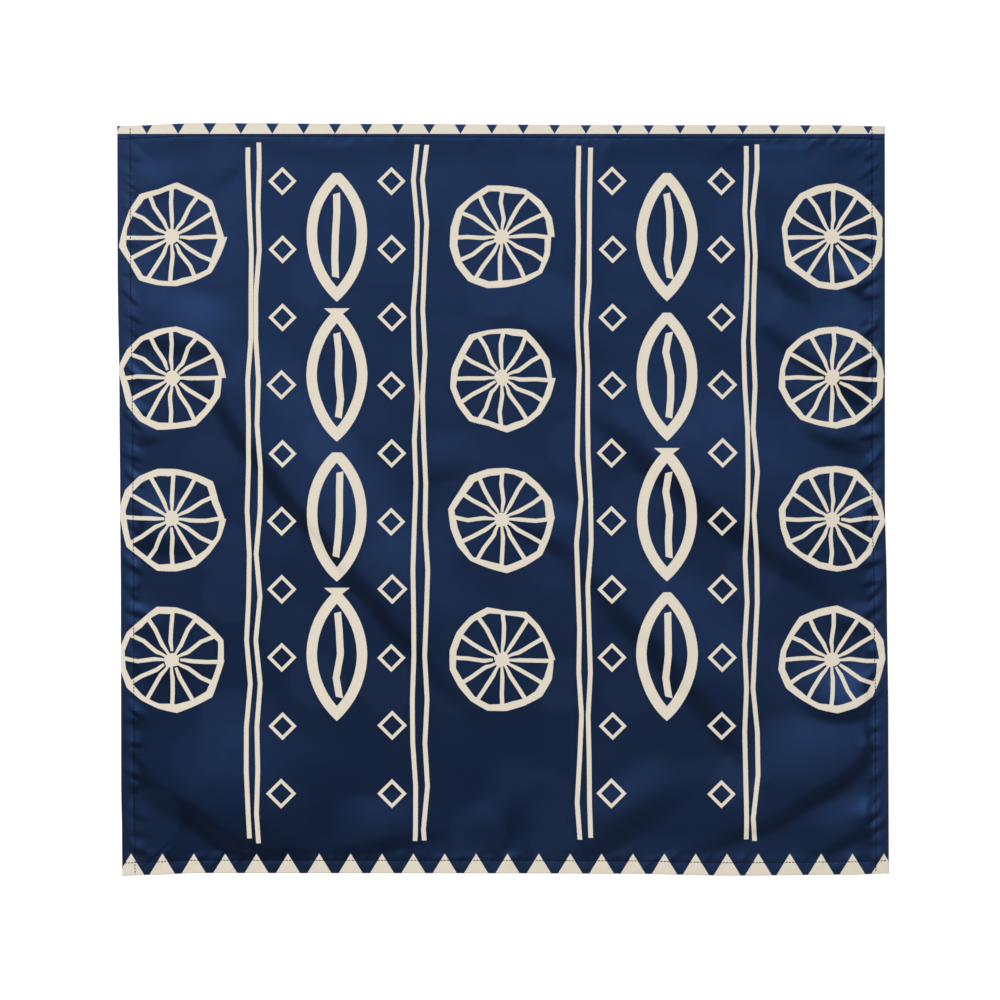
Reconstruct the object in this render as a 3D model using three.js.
// A cotton bandana, hemmed on its four sides and laid flat with the printed face up.
//
// Millimetres. X runs across the cloth to the right, Y along its length and Z up from the
// surface that it lies on. The origin is on that surface, under the middle of the cloth.
//
// The cloth is one panel. Each of its four edges is folded round to the back, and the
// turned-under strip is stitched down beneath the panel. A place on the cloth is given by
// its flat coordinates from the middle: u across and v along.

import * as THREE from "three";

// The finished cloth
const CLOTH_WIDTH = 560;
const CLOTH_LENGTH = 548;
const WALL = 1.2;
const SEAM_GAP = 0.3;

// The turned-under hems: their width from the folded edge, and the slope down inside them
const HEM_WIDTH = 10.5;
const HEM_SLOPE = 4;
const HEM_RISE = WALL + SEAM_GAP;

// The folded edge is a wall that reaches down to the surface. It is EDGE_WALL thick, with a
// slight draft inside, and its corners are rounded off over EDGE_ROUND.
const EDGE_WALL = 1.2;
const EDGE_DRAFT = 0.15;
const EDGE_ROUND = 0.5;
const EDGE_ROUND_TOP = 0.9;
const EDGE_ROUND_UNDER = 0.6;

// The folds stay below a hem and reach their full height this far inside it
const FOLD_ONSET = 8;

// Cells of the panel's grid across and along, between the hems
const CELLS = 36;

// How far each edge stands out from a straight one, at places along it from -1 to 1
const LEFT_EDGE = [
  { at: -1, out: -2.2 },
  { at: -0.88, out: -2 },
  { at: -0.75, out: -1.4 },
  { at: -0.25, out: -1.2 },
  { at: 0, out: -0.7 },
  { at: 0.25, out: -0.2 },
  { at: 0.65, out: 1.2 },
  { at: 1, out: 1.4 },
];
const RIGHT_EDGE = [
  { at: -1, out: 1.8 },
  { at: -0.6, out: 1.5 },
  { at: -0.25, out: 0.4 },
  { at: 0, out: -1 },
  { at: 0.6, out: -1 },
  { at: 1, out: -1.1 },
];
const TOP_EDGE = [
  { at: -1, out: -1.5 },
  { at: -0.78, out: 0.5 },
  { at: -0.3, out: 0 },
  { at: 0, out: -0.5 },
  { at: 0.3, out: -1 },
  { at: 0.85, out: -1 },
  { at: 1, out: -1.8 },
];
const BOTTOM_EDGE = [
  { at: -1, out: 1 },
  { at: -0.93, out: 0.3 },
  { at: -0.8, out: -1.1 },
  { at: -0.45, out: -1 },
  { at: 0, out: -0.9 },
  { at: 0.3, out: -0.6 },
  { at: 0.6, out: 0.8 },
  { at: 0.9, out: 0.1 },
  { at: 1, out: -0.8 },
];

// The largest folds. Each is a ridge whose crest runs from one place to another, with its
// middle bowed to the right of that way. Its left side slopes gently over the width left,
// its right side steeply over the width right, and peak says how far along it is highest.
const FOLDS = [
  { from: [-257, 147], to: [10, -184], bow: 10, left: 66, right: 12, height: 5.8, peak: 0.55 },
  { from: [-284, 124], to: [-188, 104], bow: -3, left: 40, right: 13, height: 3.2, peak: 0.6 },
  { from: [56, 84], to: [288, -90], bow: 9, left: 86, right: 18, height: 5.4, peak: 0.45 },
  { from: [22, -8], to: [214, -226], bow: -5, left: 62, right: 16, height: 5.6, peak: 0.58 },
  { from: [170, 152], to: [292, 62], bow: 3, left: 60, right: 13, height: 3.7, peak: 0.68 },
  { from: [-286, -14], to: [-214, -36], bow: 3, left: 36, right: 12, height: 3.8, peak: 0.45 },
  { from: [-280, -178], to: [-140, -272], bow: 9, left: 100, right: 17, height: 8.4, peak: 0.55 },
  { from: [-134, -252], to: [-30, -236], bow: 2, left: 34, right: 12, height: 2.7, peak: 0.4 },
  { from: [40, -266], to: [150, -190], bow: -3, left: 28, right: 20, height: 3.1, peak: 0.4 },
  { from: [-24, -264], to: [26, -184], bow: 0, left: 24, right: 20, height: 2.4, peak: 0.35 },
  { from: [112, -256], to: [290, -158], bow: 17, left: 62, right: 11, height: 6.8, peak: 0.66 },
  { from: [204, -140], to: [290, -128], bow: 16, left: 34, right: 13, height: 4.8, peak: 0.5 },
];

// Colours of the dyed cloth, on its face and on the strips turned to its back
const NAVY = 0x1f2f4d;
const NAVY_TURNED = 0x24365a;

// How far an edge stands out at a place along it, eased between the rows of its table
function standsOut(edge, at) {
  const next = Math.max(1, edge.findIndex((row) => row.at >= at));
  const before = edge[next - 1];
  const after = edge[next];
  const eased = THREE.MathUtils.smoothstep(at, before.at, after.at);
  return THREE.MathUtils.lerp(before.out, after.out, eased);
}

// Where the flat coordinates u and v come to lie, between the four uneven edges
function placeOf(u, v) {
  const across = u / CLOTH_WIDTH + 0.5;
  const along = v / CLOTH_LENGTH + 0.5;
  const atU = THREE.MathUtils.clamp(2 * across - 1, -1, 1);
  const atV = THREE.MathUtils.clamp(2 * along - 1, -1, 1);
  const left = -standsOut(LEFT_EDGE, atV);
  const right = standsOut(RIGHT_EDGE, atV);
  const bottom = -standsOut(BOTTOM_EDGE, atU);
  const top = standsOut(TOP_EDGE, atU);
  return [
    u + THREE.MathUtils.lerp(left, right, across),
    v + THREE.MathUtils.lerp(bottom, top, along),
  ];
}

// Distance of a place from the nearest edge of the cloth
function fromEdge(u, v) {
  return Math.min(CLOTH_WIDTH / 2 - Math.abs(u), CLOTH_LENGTH / 2 - Math.abs(v));
}

// Height of one fold at a place: a bell across its crest, rising and falling along it
function foldHeight(fold, u, v) {
  const runU = fold.to[0] - fold.from[0];
  const runV = fold.to[1] - fold.from[1];
  const length = Math.hypot(runU, runV);
  const du = u - fold.from[0];
  const dv = v - fold.from[1];
  const along = (du * runU + dv * runV) / length ** 2;
  if (along <= 0 || along >= 1) return 0;
  const bowed = fold.bow * 4 * along * (1 - along);
  const offset = (du * runV - dv * runU) / length - bowed;
  const across = Math.abs(offset) / (offset > 0 ? fold.right : fold.left);
  if (across >= 1) return 0;
  const climb = along < fold.peak ? along / fold.peak : (1 - along) / (1 - fold.peak);
  return fold.height * THREE.MathUtils.smoothstep(climb, 0, 1) * (1 - across ** 2) ** 2;
}

// Height of all the folds at a place, held down to the surface at the hems
function foldsAt(u, v) {
  const inside = THREE.MathUtils.smoothstep(fromEdge(u, v), HEM_WIDTH, HEM_WIDTH + FOLD_ONSET);
  return inside * FOLDS.reduce((sum, fold) => sum + foldHeight(fold, u, v), 0);
}

// How far the panel is lifted by the strips turned under it
function hemLift(u, v) {
  const end = HEM_WIDTH + SEAM_GAP;
  return HEM_RISE * (1 - THREE.MathUtils.smoothstep(fromEdge(u, v), end, end + HEM_SLOPE));
}

// 1 on the very rim of the cloth, easing to 0 where its rounding ends
function atRim(u, v) {
  return 1 - THREE.MathUtils.smoothstep(fromEdge(u, v), 0, EDGE_ROUND);
}

// Upper side of the panel, rounded where the cloth folds over its edge
function panelTop(u, v) {
  return WALL + hemLift(u, v) + foldsAt(u, v) - EDGE_ROUND_TOP * atRim(u, v);
}

// Underside of the panel: on the surface in the middle and at the edge, up over the hems
function panelUnder(u, v) {
  const inWall = fromEdge(u, v) < EDGE_WALL + EDGE_DRAFT / 2;
  return inWall ? EDGE_ROUND_UNDER * atRim(u, v) : hemLift(u, v) + foldsAt(u, v);
}

// The panel's grid lines over one size of the cloth, closer together at its two edges
function panelLines(size) {
  const half = size / 2;
  const wall = EDGE_WALL + EDGE_DRAFT;
  const end = HEM_WIDTH + SEAM_GAP;
  const edge = [0, EDGE_ROUND, EDGE_WALL, wall, end, end + HEM_SLOPE / 2].map((d) => d - half);
  const inner = half - end - HEM_SLOPE;
  const middle = [];
  for (let i = 0; i <= CELLS; i += 1) middle.push(inner * ((2 * i) / CELLS - 1));
  return [...edge, ...middle, ...edge.map((line) => -line).reverse()];
}

// The panel's own grid lines that lie between two ends, with those ends
function linesBetween(size, start, end) {
  const between = panelLines(size).filter((line) => line > start && line < end);
  return [start, ...between, end];
}

// A closed layer of cloth over a grid of flat coordinates, from its underside to its upper side
function layer(uLines, vLines, upper, under) {
  const columns = uLines.length;
  const rows = vLines.length;
  const count = columns * rows;
  const points = [];
  for (const side of [upper, under]) {
    for (const v of vLines) {
      for (const u of uLines) points.push(...placeOf(u, v), side(u, v));
    }
  }
  const faces = [];
  const quad = (a, b, c, d) => faces.push(a, b, c, a, c, d);
  const climb = (a, b) => Math.abs(points[3 * a + 2] - points[3 * b + 2]);
  for (let row = 0; row < rows - 1; row += 1) {
    for (let column = 0; column < columns - 1; column += 1) {
      // Each cell is split along its more level diagonal, so that the splits follow the folds
      const near = row * columns + column;
      const far = near + columns;
      const level = climb(near, far + 1) <= climb(near + 1, far);
      const [a, b, c, d] = level
        ? [near, near + 1, far + 1, far]
        : [near + 1, far + 1, far, near];
      quad(a, b, c, d);
      quad(count + a, count + d, count + c, count + b);
    }
  }
  const rim = [];
  for (let column = 0; column < columns - 1; column += 1) rim.push(column);
  for (let row = 0; row < rows - 1; row += 1) rim.push(row * columns + columns - 1);
  for (let column = columns - 1; column > 0; column -= 1) rim.push((rows - 1) * columns + column);
  for (let row = rows - 1; row > 0; row -= 1) rim.push(row * columns);
  rim.forEach((corner, i) => {
    const next = rim[(i + 1) % rim.length];
    quad(corner, count + corner, count + next, next);
  });
  const geometry = new THREE.BufferGeometry();
  geometry.setAttribute("position", new THREE.Float32BufferAttribute(points, 3));
  geometry.setIndex(faces);
  geometry.computeVertexNormals();
  return geometry;
}

function clothPiece(name, colour, geometry) {
  const cloth = new THREE.MeshStandardMaterial({ color: colour, roughness: 0.8, metalness: 0 });
  const mesh = new THREE.Mesh(geometry, cloth);
  mesh.name = name;
  return mesh;
}

// The whole panel, out to the folded edges
function clothPanel() {
  const uLines = panelLines(CLOTH_WIDTH);
  const vLines = panelLines(CLOTH_LENGTH);
  return clothPiece("cloth_panel", NAVY, layer(uLines, vLines, panelTop, panelUnder));
}

// The strips turned under the panel. The side hems run the whole length of the cloth, and
// the top and bottom hems lie between them.
function hems() {
  const outer = EDGE_WALL + EDGE_DRAFT + SEAM_GAP;
  const acrossOut = CLOTH_WIDTH / 2 - outer;
  const acrossIn = CLOTH_WIDTH / 2 - HEM_WIDTH;
  const alongOut = CLOTH_LENGTH / 2 - outer;
  const alongIn = CLOTH_LENGTH / 2 - HEM_WIDTH;
  const long = linesBetween(CLOTH_LENGTH, -alongOut, alongOut);
  const wide = linesBetween(CLOTH_WIDTH, -acrossIn + SEAM_GAP, acrossIn - SEAM_GAP);
  const strips = {
    hem_left: [[-acrossOut, -acrossIn], long],
    hem_right: [[acrossIn, acrossOut], long],
    hem_bottom: [wide, [-alongOut, -alongIn]],
    hem_top: [wide, [alongIn, alongOut]],
  };
  const upper = () => WALL;
  const under = () => 0;
  return Object.entries(strips).map(([name, [uLines, vLines]]) =>
    clothPiece(name, NAVY_TURNED, layer(uLines, vLines, upper, under)),
  );
}

const bandana = new THREE.Group();
bandana.add(clothPanel(), ...hems());

export default bandana;
